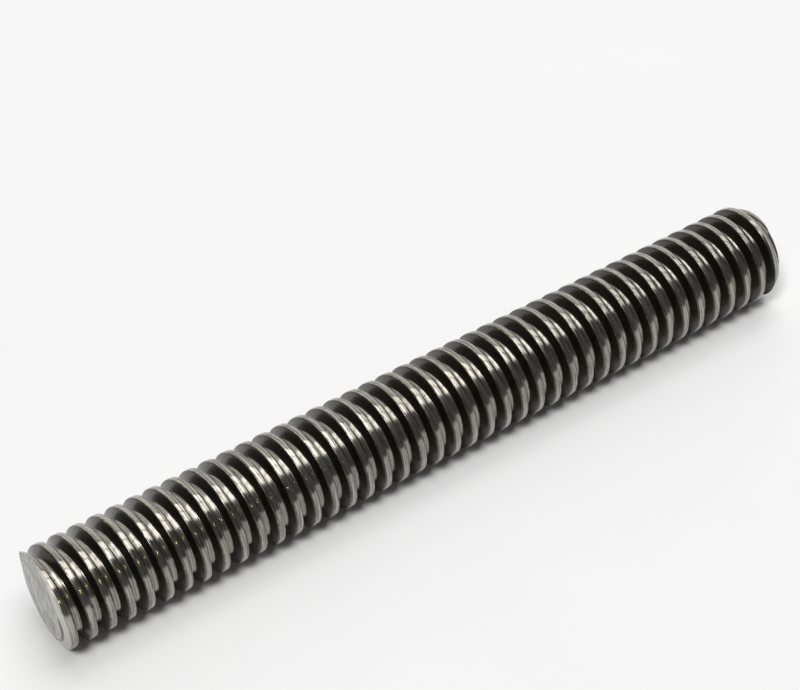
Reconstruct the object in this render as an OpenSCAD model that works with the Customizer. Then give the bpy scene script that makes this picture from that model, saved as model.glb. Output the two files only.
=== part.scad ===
// Seat screw: a length of right-hand trapezoidal threaded rod, threaded from end to end with no head.
// It lies along X with its lowest crests on z = 0. The near end, at -X, is sawn a little askew and lightly
// bevelled. The far end, at +X, is cut square and has a longer bevel that tapers the last turn.

/* [Thread] */
// Diameter over the crests
thread_d = 20; // [16:0.5:32]
// Distance from one turn to the next, with a single start
pitch = 4; // [3.5:0.25:6]
// Lean of each flank from a plane square to the axis, half the thread's included angle
flank_angle = 15; // [12:1:20]
// Depth added under the basic profile, so that a nut's crests clear the roots
root_clearance = 0.25; // [0:0.05:0.5]
// Distance from the near end to the start of the first full crest, along the side that faces +Y
first_crest_x = 2.26; // [0:0.01:4]

/* [Length and ends] */
// Length along the axis, from one end face to the other
rod_l = 167; // [40:1:190]
// Lean of the near end's saw cut from square
saw_lean = 4.2; // [0:0.1:6]
// Direction, round the axis from +Y towards +Z, in which the near end stands out furthest
saw_lean_dir = 144; // [0:1:359]
// Length of the near end's bevel, along the axis
near_bevel_l = 0.7; // [0.1:0.1:3]
// Length of the far end's bevel, along the axis
far_bevel_l = 2.8; // [0.1:0.1:4]
// Slope of both bevels from the axis
bevel_angle = 30; // [15:1:45]

/* [Smoothness] */
// Flats round one turn of the thread
flats = 32; // [16:4:36]

/* [Hidden] */

// Basic trapezoidal profile: half a pitch deep, and as wide as its gap at half that depth.
crest_r = thread_d / 2;
basic_depth = pitch / 2;
root_r = crest_r - basic_depth - root_clearance;
crest_w = pitch / 2 - basic_depth * tan(flank_angle);
flank_w = (crest_r - root_r) * tan(flank_angle);
root_w = pitch - crest_w - 2 * flank_w;

// One turn's corners as [distance along the axis, radius], from the start of its crest.
turn_profile = [
    [0, crest_r],
    [crest_w, crest_r],
    [crest_w + flank_w, root_r],
    [crest_w + flank_w + root_w, root_r],
];

// The flats touch the true radius, and the edges between them stand just outside it.
edge_scale = 1 / cos(180 / flats);

// Each profile side takes two slots: its start, and the place where a bevel cuts it, if one does.
slots_per_turn = 2 * len(turn_profile);
first_turn = -3;
last_turn = ceil(rod_l / pitch) + 1;

// Angle of one lengthwise edge line, from +Y towards +Z.
function edge_angle(i) = (i + 0.5) * 360 / flats;

// Corner number c of the thread's outline along one edge line, counted on through the turns.
function thread_corner(i, turn, c) =
    let (
        more = floor(c / len(turn_profile)),
        corner = turn_profile[c % len(turn_profile)],
        crest_x = first_crest_x + pitch * (turn + more + edge_angle(i) / 360)
    )
    [crest_x + corner[0], corner[1]];

// Radius left by the two bevels at a distance along the axis.
function near_bevel_r(x) = crest_r + (x - near_bevel_l) * tan(bevel_angle);
function far_bevel_r(x) = crest_r + (rod_l - far_bevel_l - x) * tan(bevel_angle);
function bevelled(p) = [p[0], min(p[1], near_bevel_r(p[0]), far_bevel_r(p[0]))];

// Heights of an outline point above the lower of the two bevels, and the point where a side crosses it.
function above_bevel(p) = p[1] - min(near_bevel_r(p[0]), far_bevel_r(p[0]));
function between(p, q, share) = p + (q - p) * share;
function bevel_cut(p, q) =
    let (a = above_bevel(p), b = above_bevel(q))
    a * b < 0 ? bevelled(between(p, q, a / (a - b))) : bevelled(q);

// Distance along the axis past the near end's leaning face, and past the far end's square face.
function past_near(i, p) = p[0] + tan(saw_lean) * edge_scale * p[1] * cos(edge_angle(i) - saw_lean_dir);
function past_far(p) = p[0] - rod_l;

// The bevelled outline along one edge line, with two slots to each side of the profile.
function long_outline(i) = [
    for (turn = [first_turn : last_turn], c = [0 : len(turn_profile) - 1])
        let (p = thread_corner(i, turn, c), q = thread_corner(i, turn, c + 1))
            each [bevelled(p), bevel_cut(p, q)]
];

// The outline between the end faces: [first slot used, last slot used, points].
function cut_outline(i) =
    let (
        outline = long_outline(i),
        first = len([for (p = outline) if (past_near(i, p) <= 0) 1]) - 1,
        last = len([for (p = outline) if (past_far(p) < 0) 1]),
        near_a = past_near(i, outline[first]),
        near_b = past_near(i, outline[first + 1]),
        far_a = past_far(outline[last - 1]),
        far_b = past_far(outline[last])
    )
    [
        first,
        last,
        [
            for (k = [0 : len(outline) - 1])
                k == first ? between(outline[k], outline[k + 1], near_a / (near_a - near_b))
                : k == last ? between(outline[k - 1], outline[k], far_a / (far_a - far_b))
                : outline[k]
        ],
    ];

outlines = [for (i = [0 : flats - 1]) cut_outline(i)];
slots = len(outlines[0][2]);

// A slot's point number. Slots past an end share its end point, and an unused slot shares the next point.
function used_slot(i, k) =
    let (
        outline = outlines[i],
        held = min(max(k, outline[0]), outline[1]),
        points = outline[2]
    )
    held < outline[1] && points[held] == points[held + 1] ? held + 1 : held;

// Edge line number flats is line 0 again, one turn further on.
function point_number(i, k) =
    i < flats ? i * slots + used_slot(i, k) : used_slot(0, k + slots_per_turn);

rod_points = concat(
    [
        for (i = [0 : flats - 1], p = outlines[i][2])
            [p[0], edge_scale * p[1] * cos(edge_angle(i)), edge_scale * p[1] * sin(edge_angle(i))]
    ],
    [[0, 0, 0], [rod_l, 0, 0]]
);
near_centre = flats * slots;
far_centre = near_centre + 1;

function is_face(f) = f[0] != f[1] && f[1] != f[2] && f[0] != f[2];

side_faces = [
    for (i = [0 : flats - 1], k = [-slots_per_turn : slots - 2])
        let (
            a = point_number(i, k),
            b = point_number(i, k + 1),
            c = point_number(i + 1, k + 1),
            d = point_number(i + 1, k)
        )
            for (f = [[a, b, c], [a, c, d]])
                if (is_face(f)) f
];
near_faces = [for (i = [0 : flats - 1]) [near_centre, point_number(i, 0), point_number(i + 1, -slots_per_turn)]];
far_faces = [for (i = [0 : flats - 1]) [far_centre, point_number(i + 1, slots - 1), point_number(i, slots - 1)]];

// The leaning face reaches past its own centre, so the rod is centred on its true overall length.
near_tip_x = min([for (outline = outlines) outline[2][outline[0]][0]]);
middle_x = (near_tip_x + rod_l) / 2;

module threaded_rod() {
    color("dimgray")
        translate([-middle_x, 0, crest_r])
            polyhedron(points = rod_points, faces = concat(side_faces, near_faces, far_faces), convexity = 10);
}

threaded_rod();
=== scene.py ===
# %% [markdown]
# # Seat screw
# This screw is a length of steel bar with a coarse trapezoidal thread along all of it. It has no
# head. One end is sawn a little askew, and its edge is hardly broken. The other end is square and
# has a longer bevel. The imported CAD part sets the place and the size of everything, so it is
# loaded first.

# %% Load the frame
import math

import bpy
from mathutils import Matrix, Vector


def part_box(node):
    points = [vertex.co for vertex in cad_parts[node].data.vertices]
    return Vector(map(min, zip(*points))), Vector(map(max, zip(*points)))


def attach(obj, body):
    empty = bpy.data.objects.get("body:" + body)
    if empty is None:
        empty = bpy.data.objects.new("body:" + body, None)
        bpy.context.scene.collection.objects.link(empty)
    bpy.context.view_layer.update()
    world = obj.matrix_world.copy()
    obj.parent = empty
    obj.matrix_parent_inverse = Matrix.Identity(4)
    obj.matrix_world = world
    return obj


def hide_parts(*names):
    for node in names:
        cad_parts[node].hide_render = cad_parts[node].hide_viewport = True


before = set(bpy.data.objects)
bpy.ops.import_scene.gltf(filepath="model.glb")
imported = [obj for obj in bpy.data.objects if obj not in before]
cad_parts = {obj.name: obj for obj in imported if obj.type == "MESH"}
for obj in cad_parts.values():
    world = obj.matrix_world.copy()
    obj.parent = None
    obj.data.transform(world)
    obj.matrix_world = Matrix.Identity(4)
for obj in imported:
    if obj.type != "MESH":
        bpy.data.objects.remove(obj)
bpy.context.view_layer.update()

# %% [markdown]
# Sizes are easier to read in millimetres, but the scene is in metres. Colours are easier to read
# as hex codes, but Blender's shaders want linear light. Both conversions are used everywhere
# below.

# %% Units and colours
MM = 0.001
TOUCH = 0.001 * MM  # points closer together than this count as touching


def linear(hex_code):
    """An sRGB hex code as linear red, green and blue, with a solid alpha."""
    shares = [int(hex_code[i : i + 2], 16) / 255 for i in (1, 3, 5)]
    return [s / 12.92 if s <= 0.04045 else ((s + 0.055) / 1.055) ** 2.4 for s in shares] + [1.0]


def deselect_all():
    bpy.ops.object.select_all(action="DESELECT")


print("mid grey is", [round(v, 3) for v in linear("#808080")])

# %% [markdown]
# ## Camera
# The screw lies along X. The camera stands beyond its sawn end and looks down on it by about 44
# degrees with a long lens, so the near turns show their flanks and the far turns close up.

# %% Camera
camera_data = bpy.data.cameras.new("camera")
camera_data.lens = 116.718
camera_data.sensor_width = 36
camera_data.clip_start = 0.01
camera = bpy.data.objects.new("camera", camera_data)
camera.location = (-0.201214, -0.284484, 0.370094)
camera.rotation_euler = (math.radians(45.5626), 0, math.radians(-34.6119))
bpy.context.collection.objects.link(camera)
bpy.context.scene.camera = camera
bpy.context.scene.view_settings.view_transform = "Standard"
print("camera is", round(camera.location.length * 1000), "mm from the origin")

# %% [markdown]
# ## The thread's outline
# A metric trapezoidal thread has flat crests, flat roots and flanks that lean 15 degrees. One
# pitch of that outline is all that has to be drawn: the Screw modifier sweeps it round the axis.
# The crest's radius comes from the CAD box, and the rest follows from the pitch by the standard's
# rules.

# %% Thread sizes
rod_low, rod_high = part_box("threaded_rod")
ROD_L = 167 * MM
PITCH = 4 * MM
ROOT_CLEARANCE = 0.25 * MM
FLANK_SLOPE = math.tan(math.radians(15))
CREST_R = (rod_high[2] - rod_low[2]) / 2
ROOT_R = CREST_R - PITCH / 2 - ROOT_CLEARANCE
CREST_W = PITCH / 2 - PITCH / 2 * FLANK_SLOPE
FLANK_W = (CREST_R - ROOT_R) * FLANK_SLOPE
ROOT_W = PITCH - CREST_W - 2 * FLANK_W
FAR_X = rod_high[0]
NEAR_X = FAR_X - ROD_L
FIRST_CREST_X = NEAR_X + 2.26 * MM  # where a crest starts on the +Y side
print("crest, flank and root, mm:", [round(w / MM, 3) for w in (CREST_W, FLANK_W, ROOT_W)])

# %% [markdown]
# A plane merged to its centre leaves one vertex, and extruding that vertex along the outline draws
# the profile as a tape measure would. It starts in the middle of a root, so that the joint between
# turns falls on the flattest place. It also starts a few turns before the rod does. A vertex bevel
# then rounds the corners, which on this thread aren't sharp.

# %% Draw one pitch of the profile
TURNS_BEFORE, TURNS_AFTER = 3, 2
deselect_all()
start_x = FIRST_CREST_X - FLANK_W - ROOT_W / 2 - TURNS_BEFORE * PITCH
bpy.ops.mesh.primitive_plane_add(size=MM, location=(start_x, ROOT_R, 0))
thread = bpy.context.object
thread.name = "steel_screw"
bpy.ops.object.transform_apply(location=True)
bpy.ops.object.mode_set(mode="EDIT")
bpy.ops.mesh.merge(type="CENTER")
steps = [
    (ROOT_W / 2, 0),
    (FLANK_W, CREST_R - ROOT_R),
    (CREST_W, 0),
    (FLANK_W, ROOT_R - CREST_R),
    (ROOT_W / 2, 0),
]
for along, out in steps:
    bpy.ops.mesh.extrude_vertices_move(TRANSFORM_OT_translate={"value": (along, out, 0)})
bpy.ops.object.mode_set(mode="OBJECT")
print("profile vertices:", len(thread.data.vertices))

# %% Round the corners
SELECT_MODES = {"vertices": "VERT", "edges": "EDGE", "polygons": "FACE"}


def select_only(mesh_object, kind, wanted):
    """Selects the vertices, edges or polygons for which wanted(item) is true, in edit mode."""
    bpy.ops.object.mode_set(mode="EDIT")
    bpy.ops.mesh.select_mode(type=SELECT_MODES[kind])
    bpy.ops.mesh.select_all(action="DESELECT")
    bpy.ops.object.mode_set(mode="OBJECT")
    for item in getattr(mesh_object.data, kind):
        item.select = bool(wanted(item))
    bpy.ops.object.mode_set(mode="EDIT")


def is_corner(vertex, radius):
    """Whether a profile vertex is a corner at this radius, and not one of the two ends."""
    from_end = min(abs(vertex.co.x - end) for end in (start_x, start_x + PITCH))
    return abs(vertex.co.y - radius) < TOUCH and from_end > 10 * TOUCH


for corner_r, rounding, segments in ((CREST_R, 0.24 * MM, 3), (ROOT_R, 0.16 * MM, 2)):
    select_only(thread, "vertices", lambda v: is_corner(v, corner_r))
    bpy.ops.mesh.bevel(
        offset=rounding, offset_type="OFFSET", segments=segments, affect="VERTICES"
    )
    bpy.ops.object.mode_set(mode="OBJECT")
print("profile vertices after rounding:", len(thread.data.vertices))

# %% [markdown]
# The Screw modifier turns the profile about X and moves it one pitch along for each turn. It makes
# more turns than the rod needs, because the ends are cut off later, as they are on a real bar.

# %% Sweep the thread
STEPS_PER_TURN = 96
deselect_all()
thread.select_set(True)
bpy.context.view_layer.objects.active = thread
bpy.ops.object.modifier_add(type="SCREW")
screw = thread.modifiers[0]
screw.axis = "X"
screw.angle = math.radians(360)
screw.screw_offset = PITCH
screw.iterations = math.ceil(ROD_L / PITCH) + TURNS_BEFORE + TURNS_AFTER
screw.steps = screw.render_steps = STEPS_PER_TURN
screw.use_merge_vertices = False
bpy.ops.object.modifier_apply(modifier=screw.name)
print("swept:", len(thread.data.vertices), "vertices,", len(thread.data.polygons), "faces")

# %% [markdown]
# Neighbouring turns share an edge, so merging doubles makes them one skin. The two open ends are
# then drawn in to a point on the axis, which closes the shape well outside the part that is kept.

# %% Sew the turns together and close the ends
SEAM_GAP = 0.002 * MM
bpy.ops.object.mode_set(mode="EDIT")
bpy.ops.mesh.select_all(action="SELECT")
bpy.ops.mesh.remove_doubles(threshold=SEAM_GAP)
bpy.ops.mesh.select_mode(type="EDGE")
for side in (-1, 1):
    bpy.ops.mesh.select_all(action="DESELECT")
    bpy.ops.mesh.select_non_manifold(
        extend=False,
        use_wire=False,
        use_multi_face=False,
        use_non_contiguous=False,
        use_verts=False,
    )
    bpy.ops.object.mode_set(mode="OBJECT")
    open_edges = [e for e in thread.data.edges if e.select]
    rim = {e.index for e in open_edges if side * thread.data.vertices[e.vertices[0]].co.x > 0}
    select_only(thread, "edges", lambda e: e.index in rim)
    bpy.ops.mesh.extrude_edges_move()
    bpy.ops.mesh.merge(type="CENTER")
bpy.ops.mesh.select_all(action="SELECT")
bpy.ops.mesh.normals_make_consistent(inside=False)
bpy.ops.mesh.select_all(action="DESELECT")
bpy.ops.mesh.select_non_manifold(extend=False)
bpy.ops.object.mode_set(mode="OBJECT")
print("edges still open:", sum(e.select for e in thread.data.edges))
print("faces:", len(thread.data.polygons))

# %% Put the rod on the floor
thread.location = (0, 0, CREST_R)
bpy.ops.object.transform_apply(location=True)
on_y_side = [
    (v.co.x - NEAR_X) / MM
    for v in thread.data.vertices
    if abs(v.co.z - CREST_R) < TOUCH and v.co.y > CREST_R - 10 * TOUCH
]
print("crest edges on the +Y side, mm past the near face:")
print(sorted({round(x, 2) for x in on_y_side})[:12])

# %% [markdown]
# ## The blank
# The blank is the plain bar that the thread would be cut into: a cylinder a little wider than the
# crests, with a cone at each end. Keeping only what the thread and the blank share bevels the last
# turns, as a lathe does. The near end of the blank is first cut by the leaning plane of the saw, so
# its cone leaves hardly more than a broken edge.

# %% Turn the blank
BLANK_SIDES = 192
SPARE = 0.5 * MM  # how far the blank stands outside the crests
BEVEL_SLOPE = math.tan(math.radians(30))
NEAR_CONE_X = NEAR_X + 0.05 * MM
FAR_CONE_X = FAR_X - 2.8 * MM
near_tip_x = NEAR_X - 1.5 * MM  # past the furthest point of the leaning cut
near_full_x = NEAR_CONE_X + SPARE / BEVEL_SLOPE
far_full_x = FAR_CONE_X - SPARE / BEVEL_SLOPE
deselect_all()
bpy.ops.mesh.primitive_cylinder_add(
    vertices=BLANK_SIDES,
    radius=CREST_R + SPARE,
    depth=far_full_x - near_full_x,
    location=((near_full_x + far_full_x) / 2, 0, CREST_R),
    rotation=(0, math.radians(90), 0),
)
blank = bpy.context.object
bpy.ops.object.transform_apply(location=True, rotation=True)
for side, full_x, end_x in ((-1, near_full_x, near_tip_x), (1, far_full_x, FAR_X)):
    select_only(blank, "polygons", lambda f: side * f.normal.x > 0.9)
    cone_l = abs(end_x - full_x)
    bpy.ops.mesh.extrude_region_move(TRANSFORM_OT_translate={"value": (side * cone_l, 0, 0)})
    shrink = (CREST_R + SPARE - cone_l * BEVEL_SLOPE) / (CREST_R + SPARE)
    bpy.ops.transform.resize(value=(1, shrink, shrink))
    bpy.ops.object.mode_set(mode="OBJECT")
blank_xs = [v.co.x / MM for v in blank.data.vertices]
print("blank from", round(min(blank_xs), 2), "to", round(max(blank_xs), 2))

# %% Saw the near end
SAW_SLOPE = math.tan(math.radians(4.2))
SAW_DIR = math.radians(144)  # the side where the cut stands out furthest, from +Y towards +Z
saw_normal = Vector(
    (-1, SAW_SLOPE * -math.cos(SAW_DIR), SAW_SLOPE * -math.sin(SAW_DIR))
).normalized()
bpy.ops.object.mode_set(mode="EDIT")
bpy.ops.mesh.select_all(action="SELECT")
bpy.ops.mesh.bisect(
    plane_co=(NEAR_X, 0, CREST_R), plane_no=saw_normal, use_fill=True, clear_outer=True
)
bpy.ops.object.mode_set(mode="OBJECT")
print("saw plane faces", [round(c, 4) for c in saw_normal])

# %% Cut the thread to the blank
deselect_all()
thread.select_set(True)
bpy.context.view_layer.objects.active = thread
bpy.ops.object.modifier_add(type="BOOLEAN")
cut = thread.modifiers[0]
cut.operation = "INTERSECT"
cut.solver = "EXACT"
cut.object = blank
bpy.ops.object.modifier_apply(modifier=cut.name)
bpy.data.objects.remove(blank, do_unlink=True)
print("cut rod:", len(thread.data.vertices), "vertices,", len(thread.data.polygons), "faces")

# %% [markdown]
# Where a crest only just touches a cone, the cut leaves faces too thin to see. Merging their
# corners removes them. The many-sided faces beside them become triangles, but the two flat ends
# stay whole.

# %% Merge the slivers
SLIVER = 0.02 * MM
END_NORMAL = 0.99  # the flat ends face along X by more than this
bpy.ops.object.mode_set(mode="EDIT")
bpy.ops.mesh.select_all(action="SELECT")
bpy.ops.mesh.remove_doubles(threshold=SLIVER)
select_only(
    thread, "polygons", lambda f: len(f.vertices) > 4 and abs(f.normal.x) < END_NORMAL
)
bpy.ops.mesh.quads_convert_to_tris(quad_method="BEAUTY", ngon_method="BEAUTY")
bpy.ops.mesh.select_mode(type="EDGE")
bpy.ops.mesh.select_all(action="DESELECT")
bpy.ops.mesh.select_non_manifold(extend=False)
bpy.ops.object.mode_set(mode="OBJECT")
print("open edges:", sum(e.select for e in thread.data.edges))
print("smallest face, mm2:", min(f.area for f in thread.data.polygons) / MM**2)

# %% [markdown]
# Smooth shading hides the small facets round the thread, but the saw cut and the bevels must stay
# crisp. Shading by angle does both: only edges sharper than 30 degrees stay hard.

# %% Smooth the thread
bpy.ops.object.shade_smooth_by_angle(angle=math.radians(30))
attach(thread, "root")
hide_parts("threaded_rod")
sharp = thread.data.attributes.get("sharp_edge")
print("hard edges:", sum(a.value for a in sharp.data) if sharp else 0)

# %% [markdown]
# ## Materials
# Every shader below is a small tree of nodes. One helper adds a node, sets its properties and
# fills its inputs, either with a value or with a link from another node. The functions after it
# call that helper for the kinds of node that come back often. Each of them returns an output.

# %% Node helper
def fill(tree, node, inputs):
    """Fills inputs, given by socket name or number, with values or with other nodes' outputs."""
    for socket, value in inputs.items():
        if isinstance(value, bpy.types.NodeSocket):
            tree.links.new(value, node.inputs[socket])
        else:
            node.inputs[socket].default_value = value


def add_node(tree, kind, inputs=None, **settings):
    """Adds a node, sets its properties and fills its inputs."""
    node = tree.nodes.new(kind)
    for name, value in settings.items():
        setattr(node, name, value)
    fill(tree, node, inputs or {})
    return node


def new_material(name):
    """An empty material: (material, its node tree, its Principled shader)."""
    material = bpy.data.materials.new(name)
    material.use_nodes = True
    tree = material.node_tree
    shader = next(n for n in tree.nodes if n.type == "BSDF_PRINCIPLED")
    return material, tree, shader


print("helpers ready")

# %% Nodes that come back often
MIX_SHARE = 0  # the Mix node has a pair of inputs for each kind of data, told apart by number
MIX_VALUES = (2, 3)
MIX_COLOURS = (6, 7)
MIX_COLOUR_OUT = 2
RELIEF_DEPTH = 0.02 * MM


def calculate(tree, operation, first, second):
    """A sum, product or other result of two numbers."""
    return add_node(tree, "ShaderNodeMath", {0: first, 1: second}, operation=operation).outputs[0]


def vector_node(tree, operation, inputs):
    """A node that works on vectors."""
    return add_node(tree, "ShaderNodeVectorMath", inputs, operation=operation)


def ramped(tree, value, start, end, at_start=0.0, at_end=1.0):
    """Runs from at_start to at_end while the value runs from start to end, and stays there."""
    ranges = {"From Min": start, "From Max": end, "To Min": at_start, "To Max": at_end}
    return add_node(tree, "ShaderNodeMapRange", {"Value": value, **ranges}).outputs[0]


def between(tree, share, first, second):
    """A number between two others: the first at share 0, the second at share 1."""
    inputs = dict(zip((MIX_SHARE, *MIX_VALUES), (share, first, second)))
    return add_node(tree, "ShaderNodeMix", inputs).outputs[0]


def blend(tree, share, first, second):
    """A colour between two others: the first at share 0, the second at share 1."""
    inputs = dict(zip((MIX_SHARE, *MIX_COLOURS), (share, first, second)))
    return add_node(tree, "ShaderNodeMix", inputs, data_type="RGBA").outputs[MIX_COLOUR_OUT]


def noise(tree, place, scale, detail, roughness=0.5):
    """Smooth random values around a half. The larger the scale, the finer they are."""
    inputs = {"Vector": place, "Scale": scale, "Detail": detail, "Roughness": roughness}
    return add_node(tree, "ShaderNodeTexNoise", inputs).outputs[0]


def relief(tree, height, strength):
    """A normal that makes the surface look raised where height is large."""
    inputs = {"Strength": strength, "Distance": RELIEF_DEPTH, "Height": height}
    return add_node(tree, "ShaderNodeBump", inputs).outputs[0]


def place_from(tree, point):
    """The place on the object, measured from a point."""
    place = add_node(tree, "ShaderNodeTexCoord").outputs["Object"]
    return vector_node(tree, "SUBTRACT", {0: place, 1: point}).outputs[0]


print("node functions ready")

# %% [markdown]
# ### Rolled steel thread
# The crests and roots are burnished, with fine lines that run along the helix, as thread rolling
# leaves them. Oil and dirt stay on the flanks and creep over the edges of the crests. The nearly
# black flanks, the dark crest edges and the dark root corners are partly that oil and partly
# painted shade of the grooves. The shader works in the thread's own directions: the distance from
# the axis, the angle round it, and the place within one pitch.
#
# To the eye this gives bright bands with crisp black gaps, and highlights that break up into
# streaks along each turn.

# %% Rolled steel: where am I on the thread?
rolled, tree, shader = new_material("rolled_thread_steel")
centred = place_from(tree, (FIRST_CREST_X, 0, CREST_R))
axes = add_node(tree, "ShaderNodeSeparateXYZ", {0: centred}).outputs
across = add_node(tree, "ShaderNodeCombineXYZ", {"Y": axes["Y"], "Z": axes["Z"]}).outputs[0]
angle = calculate(tree, "ARCTAN2", axes["Z"], axes["Y"])
turn_x = calculate(tree, "MULTIPLY", angle, PITCH / (2 * math.pi))
unwound = calculate(tree, "SUBTRACT", axes["X"], turn_x)
in_pitch = calculate(tree, "FLOORED_MODULO", unwound, PITCH)
print("rolled steel knows its turn and its place within the pitch")

# %% [markdown]
# The lines are a third of a millimetre apart across the crest, and about 8 mm long round it. A
# little of X is added to their place, so that no two turns have the same lines.

# %% Rolled steel: lines along the helix
LINES_ACROSS = 3 / MM
LINES_ROUND = 0.12 / MM
TURN_SHIFT = 0.11 / MM
round_way = vector_node(tree, "SCALE", {0: across, "Scale": LINES_ROUND}).outputs[0]
turn_shift = calculate(tree, "MULTIPLY", axes["X"], TURN_SHIFT)
across_lines = calculate(tree, "MULTIPLY", in_pitch, LINES_ACROSS)
line_x = calculate(tree, "ADD", across_lines, turn_shift)
line_place = add_node(tree, "ShaderNodeCombineXYZ", {"X": line_x}).outputs[0]
line_vector = vector_node(tree, "ADD", {0: line_place, 1: round_way}).outputs[0]
lines = noise(tree, line_vector, 1.0, 5.0, 0.65)
print("lines added")

# %% [markdown]
# A colour ramp over one pitch, from one crest's near edge to the next, says where the oil and the
# painted shade of the grooves are: 1 is darkest and 0 is bare. Noise makes its edges wander.

# %% Rolled steel: oil and painted shade zones
SWAY = 0.35 * MM
# The darkest stops paint the grooves' shade as well as oil, and the root's stain is partly painted
# shade too.
OILY_AND_SHADED, STAINED_AND_SHADED, CLEAN = 1, 0.2, 0.05
wander = noise(tree, centred, 0.9 / MM, 4.0, 0.7)
sway = ramped(tree, wander, 0.0, 1.0, -SWAY, SWAY)
swayed = calculate(tree, "ADD", in_pitch, sway)
share = calculate(tree, "DIVIDE", swayed, PITCH)
zones = add_node(tree, "ShaderNodeValToRGB", {0: share})
crest_end = CREST_W / PITCH
root_start = (CREST_W + FLANK_W) / PITCH
root_end = (CREST_W + FLANK_W + ROOT_W) / PITCH
stops = [
    (0, OILY_AND_SHADED),
    (0.03, OILY_AND_SHADED),
    (0.1, CLEAN),
    (crest_end - 0.07, CLEAN),
    (crest_end - 0.01, OILY_AND_SHADED),
    (root_start, OILY_AND_SHADED),
    (root_start + 0.06, STAINED_AND_SHADED),
    (root_end - 0.05, STAINED_AND_SHADED),
    (root_end, OILY_AND_SHADED),
]
ramp = zones.color_ramp.elements
while len(ramp) < len(stops):
    ramp.new(1.0)
for element, (position, oiliness) in zip(ramp, stops):
    element.position = position
    element.color = (oiliness, oiliness, oiliness, 1)
# These stops mark oil and painted groove shade together.
print("oily zones end at", [round(position, 3) for position, _ in stops])

# %% [markdown]
# The flanks beside both ends are bare and bright, but the corners at the root keep a dark line of
# painted shade. Small pits hold oil everywhere.

# %% Rolled steel: bare ends, painted corner shade and pits
# A bare end keeps this share of the oil and of the painted groove shade.
BARE_END_OIL_AND_SHADE = 0.1  # the share of its oil that a bare end keeps
PIT_OIL = 0.6
near_end = NEAR_X - FIRST_CREST_X
far_end = FAR_X - FIRST_CREST_X
near_bare = ramped(tree, axes["X"], near_end + 1.25 * MM, near_end + 0.9 * MM)
far_bare = ramped(tree, axes["X"], far_end - 1.5 * MM, far_end - 1.2 * MM)
ends = calculate(tree, "MAXIMUM", near_bare, far_bare)
radius = vector_node(tree, "LENGTH", {0: across}).outputs["Value"]
off_root = ramped(tree, radius, ROOT_R + 0.2 * MM, ROOT_R + 0.42 * MM)
off_crest = ramped(tree, radius, CREST_R - 0.08 * MM, CREST_R - 0.25 * MM)
out_of_root = calculate(tree, "MULTIPLY", ends, off_root)
# Painted shade: a dark line in the root corners beside the bare ends.
corner = calculate(tree, "SUBTRACT", ends, out_of_root)
bare = calculate(tree, "MULTIPLY", out_of_root, off_crest)
kept = ramped(tree, out_of_root, 0.0, 1.0, 1.0, BARE_END_OIL_AND_SHADE)
zone_oil_and_shade = calculate(tree, "MULTIPLY", zones.outputs[0], kept)
spots = noise(tree, centred, 4.5 / MM, 3.0, 0.6)
pits = ramped(tree, spots, 0.62, 0.68, 0.0, PIT_OIL)
pits_and_corner_shade = calculate(tree, "MAXIMUM", corner, pits)
oil_and_shade = calculate(tree, "MAXIMUM", zone_oil_and_shade, pits_and_corner_shade)
# The dark corner lines are painted shade.
print("bare ends, oily corners and pits added")

# %% Rolled steel: colour, gloss and relief
line_share = ramped(tree, lines, 0.36, 0.64)
steel_tone = blend(tree, line_share, linear("#68645d"), linear("#bab6ac"))
# The dark tone paints the oil and the shade of the grooves alike.
oil_and_shade_tone = blend(tree, wander, linear("#1e1b18"), linear("#565147"))
filed_tone = blend(tree, far_bare, linear("#c4c3ba"), linear("#e6e4d8"))
bare_tone = blend(tree, bare, steel_tone, filed_tone)
gloss = ramped(tree, line_share, 0.0, 1.0, 0.1, 0.21)
rolled_look = {
    "Base Color": blend(tree, oil_and_shade, bare_tone, oil_and_shade_tone),
    "Metallic": ramped(tree, far_bare, 0.0, 1.0, 1.0, 0.3),
    "Roughness": between(tree, oil_and_shade, gloss, 0.4),
    "Coat Weight": calculate(tree, "MULTIPLY", oil_and_shade, 0.8),
    "Coat Roughness": 0.15,
    "Normal": relief(tree, lines, 0.3),
}
fill(tree, shader, rolled_look)
thread.data.materials.append(rolled)
print("rolled steel has", len(tree.nodes), "nodes")

# %% [markdown]
# ### Sawn and filed steel
# A saw leaves a dull face with fine parallel scratches, and a file leaves rings round its edge.
# The bevels look filed too, and a little duller than bare metal.
#
# To the eye the sawn face is an even grey plate that ends the dark and bright bands, and the
# bevels are its soft rim.

# %% Sawn and filed steel
SCRATCH_TURN = math.radians(35)
SCRATCH_SCALE = (0.3 / MM, 4 / MM, 0.15 / MM)
RINGS = 3.5 / MM
RINGS_START_R, RINGS_FULL_R = 5.5 * MM, 8.5 * MM


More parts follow.
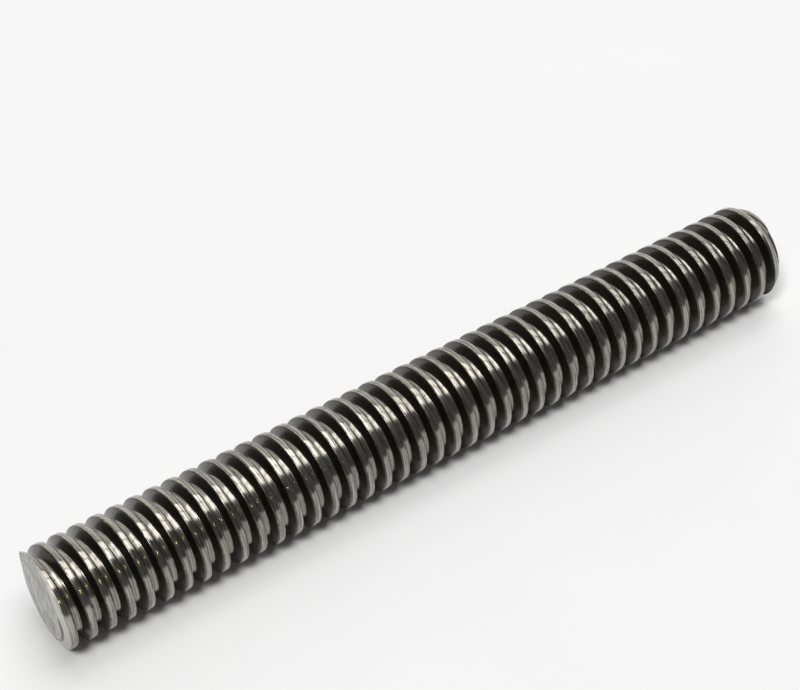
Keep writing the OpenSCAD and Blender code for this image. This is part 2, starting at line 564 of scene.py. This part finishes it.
def cut_steel(name, dark, light, metal):
    """Scratched steel, from the tones of its scratches and how metallic it looks."""
    material, tree, shader = new_material(name)
    centred = place_from(tree, (0, 0, CREST_R))
    stretched = {"Vector": centred, "Rotation": (SCRATCH_TURN, 0, 0), "Scale": SCRATCH_SCALE}
    turned = add_node(tree, "ShaderNodeMapping", stretched).outputs[0]
    scratches = noise(tree, turned, 1.0, 5.0, 0.7)
    flat = vector_node(tree, "MULTIPLY", {0: centred, 1: (0, 1, 1)}).outputs[0]
    radius = vector_node(tree, "LENGTH", {0: flat}).outputs["Value"]
    ring_place = calculate(tree, "MULTIPLY", radius, RINGS)
    ring_inputs = {"W": ring_place, "Scale": 1.0, "Detail": 4.0}
    rings = add_node(tree, "ShaderNodeTexNoise", ring_inputs, noise_dimensions="1D").outputs[0]
    outer = ramped(tree, radius, RINGS_START_R, RINGS_FULL_R, 0.0, 0.6)
    marks = between(tree, outer, scratches, rings)
    mark_share = ramped(tree, marks, 0.35, 0.65)
    fine = blend(tree, mark_share, linear(dark), linear(light))
    patches = noise(tree, centred, 0.45 / MM, 4.0)
    blotch = ramped(tree, patches, 0.45, 0.65, 0.0, 0.7)
    look = {
        "Base Color": blend(tree, blotch, fine, linear("#96948b")),
        "Metallic": metal,
        "Roughness": ramped(tree, marks, 0.0, 1.0, 0.4, 0.65),
        "Normal": relief(tree, marks, 0.4),
    }
    fill(tree, shader, look)
    return material


sawn = cut_steel("sawn_steel", "#66655f", "#e6e6e4", 1.0)
filed = cut_steel("filed_steel", "#6c6b67", "#d2d2cc", 0.55)
thread.data.materials.append(sawn)
thread.data.materials.append(filed)
print("sawn steel has", len(sawn.node_tree.nodes), "nodes")

# %% Give the cut faces their steel
THREAD_FACE, SAWN_FACE, BEVEL_FACE = 0, 1, 2  # the places of their materials on the thread
BEVEL_NORMAL = 0.5  # how far a bevel of 30 degrees faces along X
NEARLY = 0.02


def cut_kind(face):
    """Whether a face is on a flat end, on a bevel or on the thread."""
    past_near = (face.center - Vector((NEAR_X, 0, CREST_R))).dot(saw_normal)
    if abs(past_near) < TOUCH or face.center.x > FAR_X - TOUCH:
        return SAWN_FACE
    out = math.hypot(face.center.y, face.center.z - CREST_R)
    near_cone = CREST_R + (face.center.x - NEAR_CONE_X) * BEVEL_SLOPE
    far_cone = CREST_R + (FAR_CONE_X - face.center.x) * BEVEL_SLOPE
    on_cone = abs(out - min(near_cone, far_cone)) < NEARLY * MM
    faces_out = abs(abs(face.normal.x) - BEVEL_NORMAL) < NEARLY
    return BEVEL_FACE if on_cone and faces_out else THREAD_FACE


for face in thread.data.polygons:
    face.material_index = cut_kind(face)
for name, kind in (("sawn", SAWN_FACE), ("bevel", BEVEL_FACE)):
    print(name, "faces:", sum(f.material_index == kind for f in thread.data.polygons))

# %% [markdown]
# ## Studio
# The screw lies on a pale matte table, which gives the eye its soft shadow and nothing else. Bare
# metal is mostly a picture of its surroundings, so each light below is there for one band of
# brightness on the turns.

# %% Table
deselect_all()
bpy.ops.mesh.primitive_plane_add(size=6, location=(0, 0, 0))
table = bpy.context.object
table.name = "table"
matte, tree, shader = new_material("matte_white_table")
place = add_node(tree, "ShaderNodeTexCoord").outputs["Object"]
mottle = noise(tree, place, 0.02 / MM, 3.0)
table_look = {
    "Base Color": blend(tree, mottle, linear("#d9d9d9"), linear("#dddddd")),
    "Roughness": 0.9,
    "Specular IOR Level": 0.2,
}
fill(tree, shader, table_look)
table.data.materials.append(matte)
print("table ready")

# %% [markdown]
# - The window is the main light. It throws the scalloped shadow that follows the crests along the
#   table.
# - Ceiling panels in two rows, with a narrow gap between the rows, make the bright streaks on the
#   upper side of each turn. The panels at one end are dimmer, so the streaks fade towards the far
#   end.
# - The pale wall behind the screw lights the turns' far sides, and the room itself stays dim, so
#   the side towards the camera mirrors almost nothing and goes dark.
# - The desk lamp is small and warm. It only leaves a spark on each of the first turns.

# %% Lamps
CEILING_Z = 2.1


def hang(name, data, place, aim):
    """Puts a lamp at a place, turned towards a point."""
    lamp = bpy.data.objects.new(name, data)
    lamp.location = place
    lamp.rotation_euler = (Vector(aim) - Vector(place)).to_track_quat("-Z", "Y").to_euler()
    bpy.context.collection.objects.link(lamp)


def soft_box(name, place, aim, size, watts):
    """A white rectangular light."""
    data = bpy.data.lights.new(name, "AREA")
    data.shape = "RECTANGLE"
    data.size, data.size_y = size
    data.energy = watts
    data.color = linear("#ffffff")[:3]
    hang(name, data, place, aim)


soft_box("window", (-1.70, -1.22, 3.40), (0, 0, 0), (0.9, 0.9), 111)
ceiling_panels = [
    ("front_panel", 0.3, -0.44, 0.9, 0.86, 10.4),
    ("front_dim_panel", 1.06, -0.44, 0.62, 0.86, 3.0),
    ("back_panel", 0.3, 0.475, 0.9, 0.75, 8.4),
    ("back_dim_panel", 1.18, 0.475, 0.86, 0.75, 4.8),
]
for name, x, y, length, width, watts in ceiling_panels:
    soft_box(name, (x, y, CEILING_Z), (x, y, 0), (length, width), watts)
soft_box("pale_wall", (0.9, 1.59, 1.04), (0.9, 0, 0), (2.4, 2.3), 16.8)
desk_data = bpy.data.lights.new("desk_lamp", "SPOT")
desk_data.energy = 1.1
desk_data.color = linear("#fff0b4")[:3]
desk_data.shadow_soft_size = 0.025
desk_data.spot_size = math.radians(4)
desk_data.spot_blend = 1
hang("desk_lamp", desk_data, (0.30, -1.16, 0.87), (-0.08, 0, 0.01))
print("lamps:", [light.name for light in bpy.data.lights])

# %% [markdown]
# The room gives little light, but the camera sees it as a bright backdrop.

# %% Room
ROOM_LIGHT, ROOM_SEEN = 0.13, 0.9
world = bpy.data.worlds.new("dim_room")
bpy.context.scene.world = world
world.use_nodes = True
tree = world.node_tree
to_camera = add_node(tree, "ShaderNodeLightPath").outputs["Is Camera Ray"]
strength = ramped(tree, to_camera, 0.0, 1.0, ROOM_LIGHT, ROOM_SEEN)
fill(tree, tree.nodes["Background"], {"Color": linear("#f2f2f2"), "Strength": strength})
print("studio ready")
